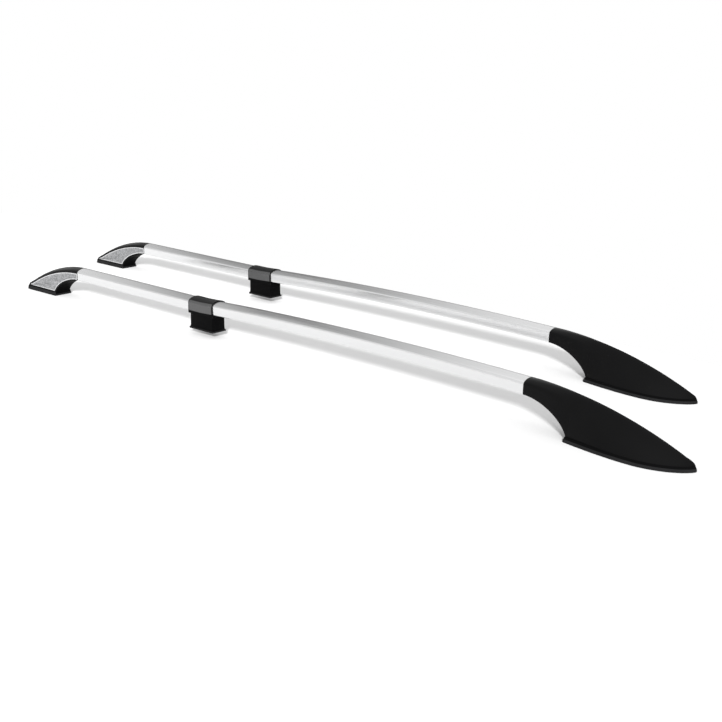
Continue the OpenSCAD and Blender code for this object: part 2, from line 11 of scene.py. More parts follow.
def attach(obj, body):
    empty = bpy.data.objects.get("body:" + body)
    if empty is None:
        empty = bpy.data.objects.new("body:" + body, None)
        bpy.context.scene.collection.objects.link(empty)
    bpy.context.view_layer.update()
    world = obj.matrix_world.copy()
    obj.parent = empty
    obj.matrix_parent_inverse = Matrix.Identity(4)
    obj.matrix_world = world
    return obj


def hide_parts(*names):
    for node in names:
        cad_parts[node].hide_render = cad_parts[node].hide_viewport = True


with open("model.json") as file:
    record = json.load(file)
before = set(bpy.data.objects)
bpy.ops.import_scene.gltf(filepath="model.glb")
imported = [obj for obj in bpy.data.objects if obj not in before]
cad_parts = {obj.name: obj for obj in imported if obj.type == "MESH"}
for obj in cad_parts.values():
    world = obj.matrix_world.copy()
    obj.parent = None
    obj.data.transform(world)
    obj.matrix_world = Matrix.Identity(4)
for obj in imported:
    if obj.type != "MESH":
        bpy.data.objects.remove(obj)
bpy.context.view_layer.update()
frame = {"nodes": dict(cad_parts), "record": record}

# Sizes in millimetres, the same as the frame's. X runs to the front feet, Z up from the soles.
# Only SHOULDER_R is larger than in the solids, because the photo's shoulders look softer. The solids have
# the bore's radius outside too.
MM = 0.001
RAIL_SPACING, RAIL_STAGGER = 372, 174
TUBE_W, TUBE_H, TUBE_CROWN, TUBE_WALL = 44, 32, 7, 2
SHOULDER_R, BORE_SHOULDER_R, FLOOR_R = 8, 4, 3.5
TUBE_Z, REAR_TUBE_LEN, FRONT_TUBE_LEN, FRONT_RISE, ARCH_R = 61, 523, 965, 7, 12500
LEG_LEN, LEG_W, LEG_SOLE_Z, LEG_CORNER_R = 86, 43, 16, 3.0
NECK_W, NECK_CORNER_R, NECK_GROW, SEAT_GAP = 41, 1.0, -0.5, 0.12
COLLAR_OVER, COLLAR_WALL, COLLAR_DROP, COLLAR_CORNER, HOOK_D, HOOK_H = 2, 2.3, 5, 0.4, 1.5, 2
PAD_LIP, PAD_T, PAD_HOLE_R, PAD_CORNER_R = 2, 4, 4.5, 3.5
GASKET_T, RIM_H, RIM_EDGE, RIM_TOP, HEEL_ROOM = 5, 6, 3.5, 1.8, 3.5
COVER_WALL, SLIDE_GAP, HOLE_GAP, END_GAP, KINK_ROOM = 2.5, 0.3, 0.3, 0.4, 0.1
PANEL_T, PANEL_PROUD, PANEL_EDGE, POCKET_REACH = 1.5, 0.3, 5, 3
BOLT_CLEAR_R, TAP_HOLE_R = 4.5, 4.3
LEAST_R, LOW_EDGE_R, LINING_DROP, LEAN = 0.4, 0.6, 2.5, 1.3

# Borders between finishes and of the painted highlight, sheen and shade: widths in millimetres, then limits
# for a face normal's share in one direction
PANEL_RIM, COLLAR_RIM = 1.6, 2.2
BAND_TILT, UNDERSIDE, JOINT_FACE, SKIRT_TOP = 0.72, -0.35, 0.5, 0.3

# Steps of the curves
FLOOR_STEPS, SHOULDER_STEPS, CROWN_STEPS, SIDE_STEPS, LOW_STEPS = 6, 8, 14, 6, 4
NECK_STEPS, BASE_STEPS, NOSE_STEPS, HEEL_STEPS, PLAN_STEPS, PANEL_STEPS = 30, 22, 22, 6, 14, 16
STRAIGHT_STEPS, ARCH_STEPS, CORNER_STEPS, HOLE_STEPS = 2, 60, 6, 48

# Where rings stand: behind the neck on the lining and on the outside, short of the tip, and past the kink
LINING_START, OUTSIDE_START, TIP_SHARE, JUST_PAST = 0.3, 4, 0.9998, 0.001

# Points closer than this are one, in millimetres, and edges shorter than this are none
MERGE_GAP, LEAST_EDGE = 0.01, 0.001


class Foot:
    """Sizes of one kind of foot. x runs from the tube's end to the tip."""

    def __init__(self, neck, neck_curve, base, nose, nose_curve, joint_z, tip_h, skirt, bolts, taps):
        self.neck, self.neck_curve, self.nose, self.nose_curve = neck, neck_curve, nose, nose_curve
        self.tip = neck + base
        self.widest = self.tip - nose
        self.joint_z, self.tip_z, self.skirt = joint_z, GASKET_T + tip_h, skirt
        self.bolts = [neck + x for x in bolts]
        self.taps = [neck + x for x in taps]


FEET = {
    "front": Foot(neck=109, neck_curve=1.65, base=250, nose=104, nose_curve=0.7, tip_h=11, skirt=6,
                  joint_z=TUBE_Z + FRONT_RISE, bolts=(34, 154), taps=(62, 126)),
    "rear": Foot(neck=109, neck_curve=1.65, base=142, nose=16, nose_curve=0.5, tip_h=8, skirt=4,
                 joint_z=TUBE_Z, bolts=(26, 90), taps=(44, 72)),
}
FRONT_HEEL_W, FRONT_MAX_W, FRONT_TOP_HALF, REAR_MAX_W = 64, 98, 15, 53

# Stations along a rail, from the rear edge of its gasket
REAR_JOINT_X = FEET["rear"].skirt + FEET["rear"].tip
KINK_X = REAR_JOINT_X + REAR_TUBE_LEN
FRONT_JOINT_X = KINK_X + FRONT_TUBE_LEN
PAIR_LEN = FRONT_JOINT_X + FEET["front"].tip + FEET["front"].skirt + RAIL_STAGGER

# The front tube's arch: a circle through both of its ends
HALF_ANGLE = math.asin(math.hypot(FRONT_TUBE_LEN, FRONT_RISE) / 2 / ARCH_R)
START_ANGLE = HALF_ANGLE + math.atan(FRONT_RISE / FRONT_TUBE_LEN)
ARCH_X = KINK_X + ARCH_R * math.sin(START_ANGLE)
ARCH_Z = TUBE_Z - ARCH_R * math.cos(START_ANGLE)

CROWN_R = (TUBE_CROWN ** 2 + (TUBE_W / 2) ** 2) / (2 * TUBE_CROWN)
CROWN_Z = TUBE_H - CROWN_R
PAD_TOP = LEG_SOLE_Z + PAD_T
SIDES = {"left": 1, "right": -1}


# Points and curves
def clamp(value, low, high):
    return max(low, min(high, value))


def smooth(value):
    t = clamp(value, 0, 1)
    return t * t * (3 - 2 * t)


def mix(a, b, share):
    return a + (b - a) * share


def arc(x, y, r, start, end, steps):
    """Points of an arc, with its angles in radians."""
    angles = [mix(start, end, i / steps) for i in range(steps + 1)]
    return [(x + r * math.cos(a), y + r * math.sin(a)) for a in angles]


def half_section(grow):
    """Right half of the tube's outline, from its floor to its crown."""
    fr = max(FLOOR_R + grow, LEAST_R)
    sr = grow + (BORE_SHOULDER_R if grow < 0 else SHOULDER_R)
    sy = TUBE_W / 2 + grow - sr
    sz = CROWN_Z + math.sqrt((CROWN_R + grow - sr) ** 2 - sy ** 2)
    meet = math.atan2(sz - CROWN_Z, sy)
    floor = arc(TUBE_W / 2 + grow - fr, fr - grow, fr, -math.pi / 2, 0, FLOOR_STEPS)
    shoulder = arc(sy, sz, sr, 0, meet, SHOULDER_STEPS)
    crown = arc(0, CROWN_Z, CROWN_R + grow, meet, math.pi / 2, CROWN_STEPS)
    return floor + shoulder + crown[1:]


def mirrored(half):
    return half + [(-y, z) for y, z in reversed(half[:-1])]


def section(grow):
    return mirrored(half_section(grow))


def rail_point(side, x, y, z):
    """A point of a rail in the frame, in metres."""
    shift = (0 if side == "left" else RAIL_STAGGER) - PAIR_LEN / 2
    return Vector((x + shift, SIDES[side] * RAIL_SPACING / 2 + y, z)) * MM


def foot_point(side, foot, x, y, z):
    if foot == "front":
        return rail_point(side, FRONT_JOINT_X + x, y, z)
    return rail_point(side, REAR_JOINT_X - x, y, z)


# Mesh making
def new_piece(name, points, faces):
    mesh = bpy.data.meshes.new(name)
    mesh.from_pydata([tuple(p) for p in points], [], faces)
    piece = bpy.data.objects.new(name, mesh)
    bpy.context.scene.collection.objects.link(piece)
    work = bmesh.new()
    work.from_mesh(mesh)
    bmesh.ops.remove_doubles(work, verts=work.verts, dist=MERGE_GAP * MM)
    bmesh.ops.dissolve_degenerate(work, edges=work.edges, dist=LEAST_EDGE * MM)
    bmesh.ops.recalc_face_normals(work, faces=work.faces)
    work.to_mesh(mesh)
    work.free()
    return piece


def loft(name, rings, ring_closed=False):
    """A skin over rings of points that all have the same count, with flat ends unless the rings close."""
    count = len(rings[0])
    last = len(rings)
    faces = []
    for i in range(last if ring_closed else last - 1):
        a, b = i * count, (i + 1) % last * count
        faces += [(a + j, b + j, b + (j + 1) % count, a + (j + 1) % count) for j in range(count)]
    if not ring_closed:
        faces += [tuple(range(count)), tuple(reversed(range((last - 1) * count, last * count)))]
    return new_piece(name, [p for ring in rings for p in ring], faces)


def apply_modifiers(piece):
    shape = piece.evaluated_get(bpy.context.evaluated_depsgraph_get())
    mesh = bpy.data.meshes.new_from_object(shape)
    piece.modifiers.clear()
    old, piece.data = piece.data, mesh
    mesh.name = piece.name
    bpy.data.meshes.remove(old)


def cut(piece, *cutters):
    """Takes the cutters out of a piece and deletes them."""
    for cutter in cutters:
        step = piece.modifiers.new("cut", "BOOLEAN")
        step.operation, step.solver, step.object = "DIFFERENCE", "MANIFOLD", cutter
    apply_modifiers(piece)
    for cutter in cutters:
        bpy.data.objects.remove(cutter)
    return piece


def soften(piece, width=0, angle=38, segments=3):
    """Rounds the edges above an angle if a width is given, and shades the piece smooth below that angle."""
    if width:
        step = piece.modifiers.new("edge", "BEVEL")
        step.width, step.segments, step.limit_method = width * MM, segments, "ANGLE"
        step.angle_limit = math.radians(angle)
        step.use_clamp_overlap = True
        apply_modifiers(piece)
    for face in piece.data.polygons:
        face.use_smooth = True
    piece.data.set_sharp_from_angle(angle=math.radians(angle))
    return piece


def rod(name, centre, radius, low, high):
    """An upright round bar, used as a cutter. Its centre is in metres, the rest in millimetres."""
    radius *= MM
    ring = [(centre.x + radius * math.cos(2 * math.pi * i / HOLE_STEPS),
             centre.y + radius * math.sin(2 * math.pi * i / HOLE_STEPS)) for i in range(HOLE_STEPS)]
    return loft(name, [[(x, y, z * MM) for x, y in ring] for z in (low, high)])


def box_piece(name, low, high):
    ring = [(low.x, low.y), (high.x, low.y), (high.x, high.y), (low.x, high.y)]
    return loft(name, [[(x, y, z) for x, y in ring] for z in (low.z, high.z)])


# Materials
NOISE_LOW, NOISE_HIGH = 0.3, 0.7  # where most of a noise's values lie


def shader_input(item, name):
    return item.node_tree.nodes["Principled BSDF"].inputs[name]


def material(name, colour, metallic, roughness, specular=0.5):
    item = bpy.data.materials.new(name)
    item.use_nodes = True
    shader_input(item, "Base Color").default_value = (*colour, 1)
    shader_input(item, "Metallic").default_value = metallic
    shader_input(item, "Roughness").default_value = roughness
    shader_input(item, "Specular IOR Level").default_value = specular
    return item


def node(item, kind, **values):
    made = item.node_tree.nodes.new(kind)
    for key, value in values.items():
        setattr(made, key, value)
    return made


def link(item, source, target):
    item.node_tree.links.new(source, target)


def noise(item, scale, detail, stretch=(1, 1, 1)):
    """A noise in the piece's own space, stretched along an axis where asked."""
    place = node(item, "ShaderNodeTexCoord")
    mapping = node(item, "ShaderNodeMapping")
    mapping.inputs["Scale"].default_value = stretch
    texture = node(item, "ShaderNodeTexNoise")
    texture.inputs["Scale"].default_value = scale
    texture.inputs["Detail"].default_value = detail
    link(item, place.outputs["Object"], mapping.inputs["Vector"])
    link(item, mapping.outputs["Vector"], texture.inputs["Vector"])
    return texture


def ramp(item, source, low, high, at_low, at_high):
    """A value that runs from one limit to the other while its source runs from low to high."""
    made = node(item, "ShaderNodeMapRange")
    for key, value in zip(("From Min", "From Max", "To Min", "To Max"), (low, high, at_low, at_high)):
        made.inputs[key].default_value = value
    link(item, source, made.inputs["Value"])
    return made.outputs["Result"]


def drive(item, texture, name, low, high):
    """Lets a noise move one of the shader's values between two limits."""
    value = ramp(item, texture.outputs["Fac"], NOISE_LOW, NOISE_HIGH, low, high)
    link(item, value, shader_input(item, name))


def tint(item, texture, dark, light):
    """Lets a noise move the shader's colour between two colours."""
    blend = node(item, "ShaderNodeValToRGB")
    for stop, place, colour in zip(blend.color_ramp.elements, (NOISE_LOW, NOISE_HIGH), (dark, light)):
        stop.position, stop.color = place, (*colour, 1)
    link(item, texture.outputs["Fac"], blend.inputs["Fac"])
    link(item, blend.outputs["Color"], shader_input(item, "Base Color"))


def bump(item, texture, strength, depth):
    """Lets a noise press the surface in and out, by a depth in metres."""
    layer = node(item, "ShaderNodeBump")
    layer.inputs["Strength"].default_value, layer.inputs["Distance"].default_value = strength, depth
    link(item, texture.outputs["Fac"], layer.inputs["Height"])
    link(item, layer.outputs["Normal"], shader_input(item, "Normal"))


def shade(colour, share):
    return tuple(c * share for c in colour)


def brushed_aluminium():
    """Satin anodised tube, brushed along its length."""
    colour = (0.86, 0.862, 0.866)
    item = material("rail_aluminium", colour, 1.0, 0.22)
    strands = noise(item, 260, 3, (0.012, 1, 1))
    haze = noise(item, 5, 3, (0.3, 1, 1))
    drive(item, strands, "Roughness", 0.18, 0.27)
    tint(item, haze, shade(colour, 0.965), colour)
    bump(item, strands, 0.12, 0.00004)
    return item


def moulded_plastic(name, colour, roughness, grain, specular, mottle=0.05):
    """Moulded plastic with a fine eroded grain. Its mottle is how far the flow marks move the finish."""
    item = material(name, colour, 0.0, roughness, specular)
    pits = noise(item, grain, 4)
    flow = noise(item, 14, 3)
    drive(item, flow, "Roughness", roughness - mottle, roughness + mottle)
    tint(item, flow, shade(colour, 1 - 3 * mottle), shade(colour, 1 + 3 * mottle))
    bump(item, pits, 0.35, 0.00006)
    return item


def rubber():
    colour = (0.0078, 0.0078, 0.0081)
    item = material("gasket_rubber", colour, 0.0, 0.62, 0.13)
    pores = noise(item, 1300, 3)
    bloom = noise(item, 22, 4)
    drive(item, bloom, "Roughness", 0.52, 0.72)
    tint(item, bloom, shade(colour, 0.8), shade(colour, 1.35))
    bump(item, pores, 0.3, 0.00008)
    return item


def inlay():
    """Grey grained field on the rear foot's sides, lighter than the black cover round it."""
    colour = (0.222, 0.224, 0.229)
    item = material("panel_grey", colour, 0.35, 0.5)
    grains = noise(item, 240, 5)
    cloud = noise(item, 45, 3)
    tint(item, grains, shade(colour, 0.5), shade(colour, 1.42))
    drive(item, cloud, "Roughness", 0.42, 0.58)
    bump(item, grains, 0.4, 0.00008)
    return item


def painted_rim_highlight():
    """Painted highlight round the grey field's edge: a bright metallic rim."""
    item = material("panel_painted_highlight", (0.8, 0.8, 0.81), 0.8, 0.3)
    polish = noise(item, 120, 3)
    drive(item, polish, "Roughness", 0.24, 0.38)
    bump(item, polish, 0.1, 0.00003)
    return item


def cast_metal():
    colour = (0.42, 0.425, 0.435)
    item = material("cast_bracket", colour, 0.9, 0.5)
    skin = noise(item, 420, 5)
    flow = noise(item, 30, 3)
    tint(item, flow, shade(colour, 0.8), shade(colour, 1.1))
    drive(item, flow, "Roughness", 0.42, 0.6)
    bump(item, skin, 0.4, 0.00015)
    return item


def mill_metal():
    colour = (0.6, 0.6, 0.61)
    item = material("bar_aluminium", colour, 1.0, 0.35)
    lines = noise(item, 300, 2, (0.02, 1, 1))
    drive(item, lines, "Roughness", 0.28, 0.45)
    bump(item, lines, 0.2, 0.00005)
    return item


def zinc_steel():
    colour = (0.62, 0.63, 0.65)
    item = material("zinc_steel", colour, 1.0, 0.3)
    bloom = noise(item, 160, 4)
    drive(item, bloom, "Roughness", 0.24, 0.42)
    tint(item, bloom, shade(colour, 0.85), colour)
    bump(item, bloom, 0.15, 0.00004)
    return item


# Mouldings give their colour, roughness, grain, specular level and mottle
FINISH = {
    "rail_aluminium": brushed_aluminium(),
    "bar_aluminium": mill_metal(),
    "cover_plastic": moulded_plastic("cover_plastic", (0.0014, 0.0014, 0.0015), 0.34, 1500, 0.11),
    # painted shade: a matt plastic that shows darker, for the covers' undersides and joint faces and the
    # groove round them
    "shade_matt_plastic": moulded_plastic("shade_matt_plastic", (0.002, 0.002, 0.0021), 0.6, 900, 0.03),
    "collar_plastic": moulded_plastic("collar_plastic", (0.0025, 0.0025, 0.0027), 0.38, 1700, 0.15),
    # painted sheen: the collar's side band has a lighter colour than the black collar
    "collar_painted_sheen": moulded_plastic("collar_painted_sheen", (0.026, 0.026, 0.0265), 0.22, 1700, 1.0, 0.01),
    "leg_plastic": moulded_plastic("leg_plastic", (0.0012, 0.0012, 0.0013), 0.5, 1100, 0.04),
    "panel_grey": inlay(),
    "panel_painted_highlight": painted_rim_highlight(),
    "gasket_rubber": rubber(),
    "cast_bracket": cast_metal(),
    "zinc_steel": zinc_steel(),
}


def place_piece(piece, node_name, slot):
    """Puts a finished piece in the place of a frame node."""
    piece.data.materials.clear()
    piece.data.materials.append(FINISH[slot])
    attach(piece, "root")
    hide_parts(node_name)


def add_rim(piece, width, field, border):
    """Insets the piece's large faces and finishes the field inside and the border round it."""
    work = bmesh.new()
    work.from_mesh(piece.data)
    largest = max(face.calc_area() for face in work.faces)
    faces = [face for face in work.faces if face.calc_area() > largest / 2]
    rim = bmesh.ops.inset_region(work, faces=faces, thickness=width * MM, use_even_offset=True)["faces"]
    for group, slot in ((faces, field), (rim, border)):
        index = finish_index(piece, slot)
        for face in group:
            face.material_index = index
    work.to_mesh(piece.data)
    work.free()


def finish_index(piece, slot):
    materials = piece.data.materials
    if FINISH[slot].name not in materials:
        materials.append(FINISH[slot])
    return materials.find(FINISH[slot].name)


# Foot shapes
# The tube's section above its floor's corner, as shares of its half width and of its height
UNIT_SECTION = [
    (y / (TUBE_W / 2), (z - FLOOR_R) / (TUBE_H - FLOOR_R)) for y, z in half_section(0)[FLOOR_STEPS + 1:]]
FLAT_SHARE = UNIT_SECTION[0][1]
UNIT_SIDE = [(1, FLAT_SHARE * (i + 1) / (SIDE_STEPS + 1)) for i in range(SIDE_STEPS)]


def quarter(value, curve):
    """A quarter of a rounded square, from one down to nought."""
    return (1 - clamp(value, 0, 1) ** curve) ** (1 / curve)


def side_half(foot, x):
    """Half width of a cover's side, over the neck and then the base."""
    size = FEET[foot]
    if foot == "rear":
        return TUBE_W / 2 + (REAR_MAX_W - TUBE_W) / 2 * clamp(x / size.widest, 0, 1)
    if x < size.neck:
        return TUBE_W / 2 + (FRONT_HEEL_W - TUBE_W) / 2 * (x / size.neck) ** 2
    turn = clamp((x - size.neck) / (size.widest - size.neck), 0, 1)
    return mix(FRONT_HEEL_W, FRONT_MAX_W, math.sin(math.pi / 2 * turn)) / 2


def closing(foot, x, inset):
    """Share of the width that is left between the widest place and the tip."""
    size = FEET[foot]
    share = max(0, x - size.widest) / (size.nose - inset)
    return max(0, 1 - share ** 2) ** size.nose_curve


def base_half(foot, x, inset):
    """Half width of a cover at its foot. An outline grown outwards has round heel corners."""
    r = max(0, -inset)
    t = clamp(x - FEET[foot].neck - inset, 0, r)
    corner = r - math.sqrt(max(0, r ** 2 - (r - t) ** 2))
    return (side_half(foot, x) - corner - inset) * closing(foot, x, inset)


def crest(foot, x):
    """Height of a cover's ridge."""
    size = FEET[foot]
    return size.tip_z + (size.joint_z + TUBE_H - size.tip_z) * (1 - (x / size.tip) ** 2)


def sole(foot, x, inset):
    """Height of a cover's lower edge: an arch under the neck, then level on the gasket."""
    size = FEET[foot]
    if x > size.neck + inset:
        return GASKET_T - (LINING_DROP if inset > 0 else 0)
    return inset + GASKET_T + (size.joint_z - GASKET_T) * quarter((x - inset) / size.neck, size.neck_curve)


def top_half(foot, x, inset):
    """Half width of a cover just below its ridge."""
    if foot == "rear":
        return base_half(foot, x, inset)
    span = (TUBE_W / 2 - FRONT_TOP_HALF) * (1 - smooth(x / FEET[foot].widest))
    return (FRONT_TOP_HALF + span - inset) * closing(foot, x, inset)


def lift(foot, share, rest):
    """Height of a point of the section: a rear cover grows in its flat side alone, below its crown."""
    crown = (1 - FLAT_SHARE) * (rest if foot == "front" else min(rest, TUBE_H - FLOOR_R))
    if share < FLAT_SHARE:
        return share / FLAT_SHARE * (rest - crown)
    return rest - (1 - share) / (1 - FLAT_SHARE) * crown


def ring(foot, x, inset):
    """One ring of a cover, square to the rail."""
    low = base_half(foot, x, inset)
    top = min(low, top_half(foot, x, inset))
    z = sole(foot, x, inset)
    h = crest(foot, x) - inset - z
    share = smooth((x - inset) / FEET[foot].neck)
    r = min(mix(max(FLOOR_R - inset, LEAST_R), LOW_EDGE_R, share), low / 2, h / 2)
    k = smooth(x / FEET[foot].widest) if foot == "front" else 0
    half = arc(low - r, r, r, -math.pi / 2, 0, LOW_STEPS)
    for y, up in UNIT_SIDE + UNIT_SECTION:
        rounding = 1 - k + k / math.hypot(y, up)
        a, b = y * rounding, up * rounding
        half.append((a * (top + (low - top) * max(0, 1 - b) ** LEAN), r + lift(foot, b, h - r)))
    return [(x, y, z + up) for y, up in mirrored(half)]


def stations(foot, inset):
    """Where a cover's rings stand, closer together where its outline turns."""
    size = FEET[foot]
    turn = [math.sin(math.pi / 2 * i / NECK_STEPS) ** (2 / size.neck_curve) for i in range(NECK_STEPS + 1)]
    neck = [inset + size.neck * t for t in turn]
    first = size.neck + inset + (LINING_START if inset > 0 else OUTSIDE_START)
    base = [mix(first, size.widest, i / BASE_STEPS) for i in range(BASE_STEPS + 1)]
    nose = [size.widest + (size.nose - inset) * min(math.sin(math.pi / 2 * i / NOSE_STEPS), TIP_SHARE)
            for i in range(1, NOSE_STEPS + 1)]
    return neck + base + nose


def shell(name, side, foot, inset, last_x):
    """A cover's outer form, or with an inset its lining, which starts outside the joint."""
    xs = [x for x in stations(foot, inset) if x < last_x]
    if inset > 0:
        xs = [-1] + xs
    return loft(name, [[foot_point(side, foot, *p) for p in ring(foot, x, inset)] for x in xs])


def plan(foot, grow):
    """Outline of a base, grown outwards, from the heel round the tip and back."""
    size = FEET[foot]
    start = size.neck - grow
    tip_steps = 2 * PLAN_STEPS
    xs = [start + grow * (1 - math.cos(math.pi / 2 * i / HEEL_STEPS)) for i in range(HEEL_STEPS + 1)]
    xs += [mix(size.neck, size.widest, i / PLAN_STEPS) for i in range(1, PLAN_STEPS + 1)]
    xs += [size.widest + (size.nose + grow) * min(math.sin(math.pi / 2 * i / tip_steps), TIP_SHARE)
           for i in range(1, tip_steps + 1)]
    half = [(x, base_half(foot, x, -grow)) for x in xs]
    return half + [(x, -y) for x, y in reversed(half)]


def panel_outline(grow):
    """Outline of the inlay: along the neck's arch, level above the skirt, and back under the shoulder."""
    size = FEET["rear"]
    edge = PANEL_EDGE - grow
    low = GASKET_T + RIM_H + edge / 2
    line = size.tip - size.nose / 2 - 2 * edge
    back_steps = 2 * PANEL_STEPS
    points = []
    for i in range(PANEL_STEPS):
        turn = math.sin(math.pi / 2 * i / PANEL_STEPS) ** (2 / size.neck_curve)
        x = edge / 2 + (size.neck + edge / 2) * turn
        points.append((x, max(low, sole("rear", x - edge, 0) + edge / 2)))
    points += [(size.neck + edge / 2, low), (line, low)]
    for i in range(back_steps, -1, -1):
        x = edge / 2 + (line - edge / 2) * i / back_steps
        floor = sole("rear", x, 0)
        points.append((x, floor + lift("rear", FLAT_SHARE, crest("rear", x) - floor) - edge / 4))
    return points


def side_slab(name, side, wall, outline, inner, outer):
    """A flat slab on the rear cover's side, between two depths out from its face."""
    turn = math.atan((REAR_MAX_W - TUBE_W) / 2 / FEET["rear"].widest)
    face = TUBE_W / 2 * math.cos(turn)
    rings = []
    for depth in (inner, outer):
        ring_points = []
        for x, z in outline:
            y = face + depth
            across = x * math.sin(turn) + y * math.cos(turn)
            along = x * math.cos(turn) - y * math.sin(turn)
            ring_points.append(foot_point(side, "rear", along, across if wall == "inner" else -across, z))
        rings.append(ring_points)
    return loft(name, rings)


# Pieces
def make_cover(side, foot):
    """A hollow cover with pockets for the inlays, with painted shade below and on its joint's face: a matt
    plastic that shows darker there.
    """
    size = FEET[foot]
    cover = shell(f"{side}_{foot}_cover_shell", side, foot, 0, size.tip + 1)
    lining_end = size.tip - (size.nose / 3 if foot == "front" else size.nose / 2)
    cutters = [shell("lining", side, foot, COVER_WALL, lining_end)]
    if foot == "rear":
        depth = PANEL_PROUD - PANEL_T
        cutters += [side_slab("pocket", side, wall, panel_outline(HOLE_GAP), depth, POCKET_REACH)
                    for wall in ("inner", "outer")]
    cut(cover, *cutters)
    place_piece(soften(cover), f"{side}_{foot}_cover", "cover_plastic")
    to_tube = (foot_point(side, foot, 0, 0, 0) - foot_point(side, foot, 1, 0, 0)).normalized()
    shade_slot = finish_index(cover, "shade_matt_plastic")
    for face in cover.data.polygons:
        # painted shade: downward faces and the joint's face get the matt plastic
        if face.normal.z < UNDERSIDE or face.normal.dot(to_tube) > JOINT_FACE:
            face.material_index = shade_slot


def make_panels(side):
    for wall in ("inner", "outer"):
        panel = side_slab(f"{side}_rear_{wall}_inlay", side, wall, panel_outline(0),
                          PANEL_PROUD - PANEL_T, PANEL_PROUD)
        soften(panel, width=0.35, angle=50, segments=2)
        place_piece(panel, f"{side}_rear_{wall}_panel", "panel_grey")
        # painted highlight: a bright rim round each grey field
        add_rim(panel, PANEL_RIM, "panel_grey", "panel_painted_highlight")


def make_gasket(side, foot):
    """A sole with a skirt round the cover, bolt and screw holes, and a notch where the neck comes in."""
    size = FEET[foot]
    lip = RIM_TOP + HOLE_GAP
    top = GASKET_T + RIM_H
    slope_z = mix(RIM_EDGE, top, 0.4)
    # The skirt's section as (growth, height): outer edge, slope, rounded lip and inner wall
    profile = [(size.skirt - 0.7, 0), (size.skirt - 0.2, 0.2), (size.skirt, 0.7),
               (size.skirt, RIM_EDGE - 0.6), (size.skirt - 0.15, RIM_EDGE),
               (mix(size.skirt, lip, 0.45), slope_z), (lip + 0.25, top - 0.5), (lip - 0.1, top - 0.1),
               (lip - 0.3, top), (HOLE_GAP + 0.3, top), (HOLE_GAP, top - 0.4), (HOLE_GAP, GASKET_T)]
    rings = [[foot_point(side, foot, x, y, z) for x, y in plan(foot, grow)] for grow, z in profile]
    gasket = loft(f"{side}_{foot}_gasket_skirt", rings)
    half = side_half(foot, size.neck) + 2 * HOLE_GAP
    corners = [foot_point(side, foot, size.neck - HEEL_ROOM, -half, GASKET_T),
               foot_point(side, foot, size.neck + 1, half, top + 1)]
    low = Vector(min(c[i] for c in corners) for i in range(3))
    high = Vector(max(c[i] for c in corners) for i in range(3))
    cutters = [box_piece("notch", low, high)]
    for radius, places in ((BOLT_CLEAR_R, size.bolts), (TAP_HOLE_R, size.taps)):
        cutters += [rod("hole", foot_point(side, foot, x, 0, 0), radius, -1, GASKET_T + 1) for x in places]
    cut(gasket, *cutters)
    place_piece(soften(gasket, angle=35), f"{side}_{foot}_gasket", "gasket_rubber")
    # The skirt's upper face, in the groove round the cover, gets painted shade: the darker matt plastic
    groove_shade = finish_index(gasket, "shade_matt_plastic")
    for face in gasket.data.polygons:
        if face.normal.z > SKIRT_TOP and face.center.z > slope_z * MM:
            face.material_index = groove_shade


def tube_frame(x):
    """Where the floor of the bent run is at a station, and how steep it is there."""
    if x <= KINK_X:
        return TUBE_Z, 0.0
    turn = math.asin((ARCH_X - x) / ARCH_R)
    return ARCH_Z + ARCH_R * math.cos(turn), turn


def run_ring(side, x, outline):
    """An outline set upright on the run, stretched by the run's slope."""
    floor, turn = tube_frame(x)
    return [rail_point(side, x, y, floor + z / math.cos(turn)) for y, z in outline]


def make_tubes(side):
    """The straight rear tube and the arched front tube, both hollow and open at their ends."""
    spans = {
        "rear_tube": (REAR_JOINT_X + END_GAP, KINK_X - END_GAP, STRAIGHT_STEPS),
        "front_tube": (KINK_X + END_GAP + KINK_ROOM, FRONT_JOINT_X - END_GAP, ARCH_STEPS),
    }
    for name, (start, end, steps) in spans.items():
        xs = [mix(start, end, i / steps) for i in range(steps + 1)]
        outer = [run_ring(side, x, section(0)) for x in xs]
        inner = [run_ring(side, x, section(-TUBE_WALL)) for x in reversed(xs)]
        tube = loft(f"{side}_{name}_skin", outer + inner, ring_closed=True)
        place_piece(soften(tube, angle=50), f"{side}_{name}", "rail_aluminium")


def collar_outline():
    """The saddle's section: over the tube, down its sides, and in under the leg's shoulders."""
    half = TUBE_W / 2 + SLIDE_GAP
    out = half + COLLAR_WALL
    side_z = FLOOR_R + 1
    outer = [(y, z) for y, z in half_section(SLIDE_GAP + COLLAR_WALL) if z > side_z]
    inner = [(y, z) for y, z in half_section(SLIDE_GAP) if z > side_z]
    foot = [(out - COLLAR_CORNER, -COLLAR_DROP), (out, -COLLAR_DROP + COLLAR_CORNER), (out, 0),
            (out, COLLAR_RIM)]
    hook = [(half, FLOOR_R), (half, HOOK_H - COLLAR_DROP), (half - HOOK_D, HOOK_H - COLLAR_DROP),
            (half - HOOK_D, -COLLAR_DROP)]
    right = foot + outer
    left = [(-y, z) for y, z in reversed(right[:-1])]
    inside_left = [(-y, z) for y, z in reversed(hook)] + [(-y, z) for y, z in inner]
    inside_right = [(y, z) for y, z in reversed(inner[:-1])] + hook
    return right + left + inside_left + inside_right


